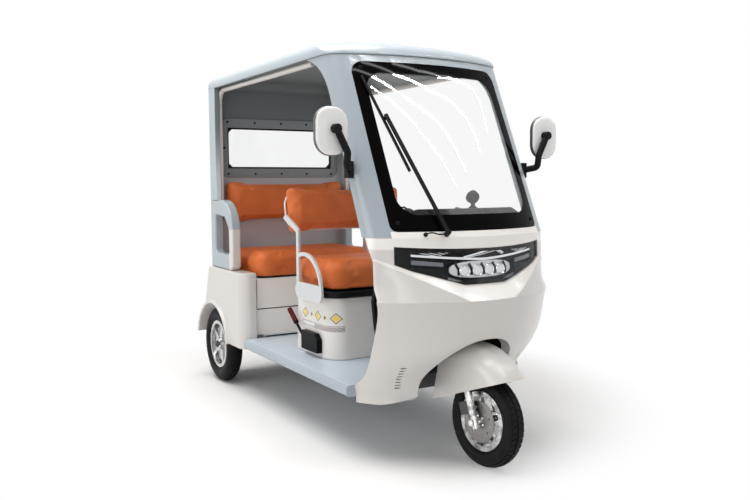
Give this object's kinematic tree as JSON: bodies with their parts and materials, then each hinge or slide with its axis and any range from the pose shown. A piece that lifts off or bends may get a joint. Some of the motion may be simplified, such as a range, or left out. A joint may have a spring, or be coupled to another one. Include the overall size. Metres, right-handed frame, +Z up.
{
  "type": "motor tricycle",
  "caption": "Motor tricycle with a rounded nose, raked windscreen and roofed open-sided cab, driver's seat ahead of a passenger bench, and a steered front wheel under a domed fender.",
  "frame": {"origin": "on the ground under the middle of the vehicle's overall box", "axes": "+X forward, +Y to the driver's left, +Z up"},
  "size_m": [2.3958, 1.254, 1.7856],
  "materials": {
    "tyre": "matt",
    "alloy": "satin",
    "steel": "satin",
    "chassis_paint": "satin",
    "dark_metal": "satin",
    "cream_paint": "gloss",
    "blue_paint": "gloss",
    "lining": "matt",
    "black_plastic": "matt",
    "window_grey": "matt",
    "lamp_tray": "gloss",
    "lens": "clear",
    "glass": "clear",
    "mirror": "polished",
    "seat_leather": "satin",
    "rubber": "matt",
    "tail_red": "gloss"
  },
  "bodies": {
    "chassis": {"chassis_frame": "chassis_paint", "steering_head": "chassis_paint", "rear_axle": "dark_metal", "drive_motor": "dark_metal", "leaf_springs": "dark_metal", "front_fairing": "cream_paint", "headlamp_lens": "lens", "headlamp_housing": "lamp_tray", "windscreen_frame": "blue_paint", "windscreen": "glass", "roof": "blue_paint", "floor_pan": "blue_paint", "leg_shield": "lining", "dashboard": "black_plastic", "rear_wall": "blue_paint", "rear_window_frame": "window_grey", "rear_window": "glass", "cabin_tubes": "cream_paint", "side_guard_left": "blue_paint", "side_guard_right": "blue_paint", "rear_fender_left": "cream_paint", "rear_fender_right": "cream_paint", "tail_panel": "cream_paint", "tail_lamps": "tail_red", "bench_base": "cream_paint", "battery_pack": "black_plastic", "bench_cushion": "seat_leather", "bench_backrest": "seat_leather", "driver_cushion": "seat_leather", "driver_backrest": "seat_leather", "seat_pedestal": "cream_paint", "seat_pan": "black_plastic", "backrest_brackets": "cream_paint", "mirror_shells": "cream_paint", "mirror_glasses": "mirror", "mirror_arms": "black_plastic", "wiper": "black_plastic", "parking_brake": "black_plastic", "brake_pedal": "black_plastic"},
    "steering": {"fork_sliders": "alloy", "fork_crown": "steel", "front_fender": "cream_paint", "handlebar": "chassis_paint", "grips": "rubber", "brake_caliper": "dark_metal", "front_axle": "steel"},
    "front_wheel": {"front_tyre": "tyre", "front_rim": "alloy", "front_brake_disc": "steel"},
    "rear_wheel_left": {"rear_left_tyre": "tyre", "rear_left_rim": "alloy"},
    "rear_wheel_right": {"rear_right_tyre": "tyre", "rear_right_rim": "alloy"}
  },
  "joints": [
    {"name": "steering_turn", "type": "hinge", "parent": "chassis", "child": "steering", "pos_m": [0.98984, 0, 0.18251], "axis": [-0.3746, 0, 0.9272], "range_deg": [-35, 25]},
    {"name": "front_wheel_spin", "type": "hinge", "parent": "steering", "child": "front_wheel", "pos_m": [1.00833, 0.00174, 0.18992], "axis": [-0.0808, 0.9962, -0.0326], "continuous": true},
    {"name": "rear_left_wheel_spin", "type": "hinge", "parent": "chassis", "child": "rear_wheel_left", "pos_m": [-0.94162, 0.41, 0.218], "axis": [0, 1, 0], "continuous": true},
    {"name": "rear_right_wheel_spin", "type": "hinge", "parent": "chassis", "child": "rear_wheel_right", "pos_m": [-0.94162, -0.41, 0.218], "axis": [0, 1, 0], "continuous": true}
  ]
}
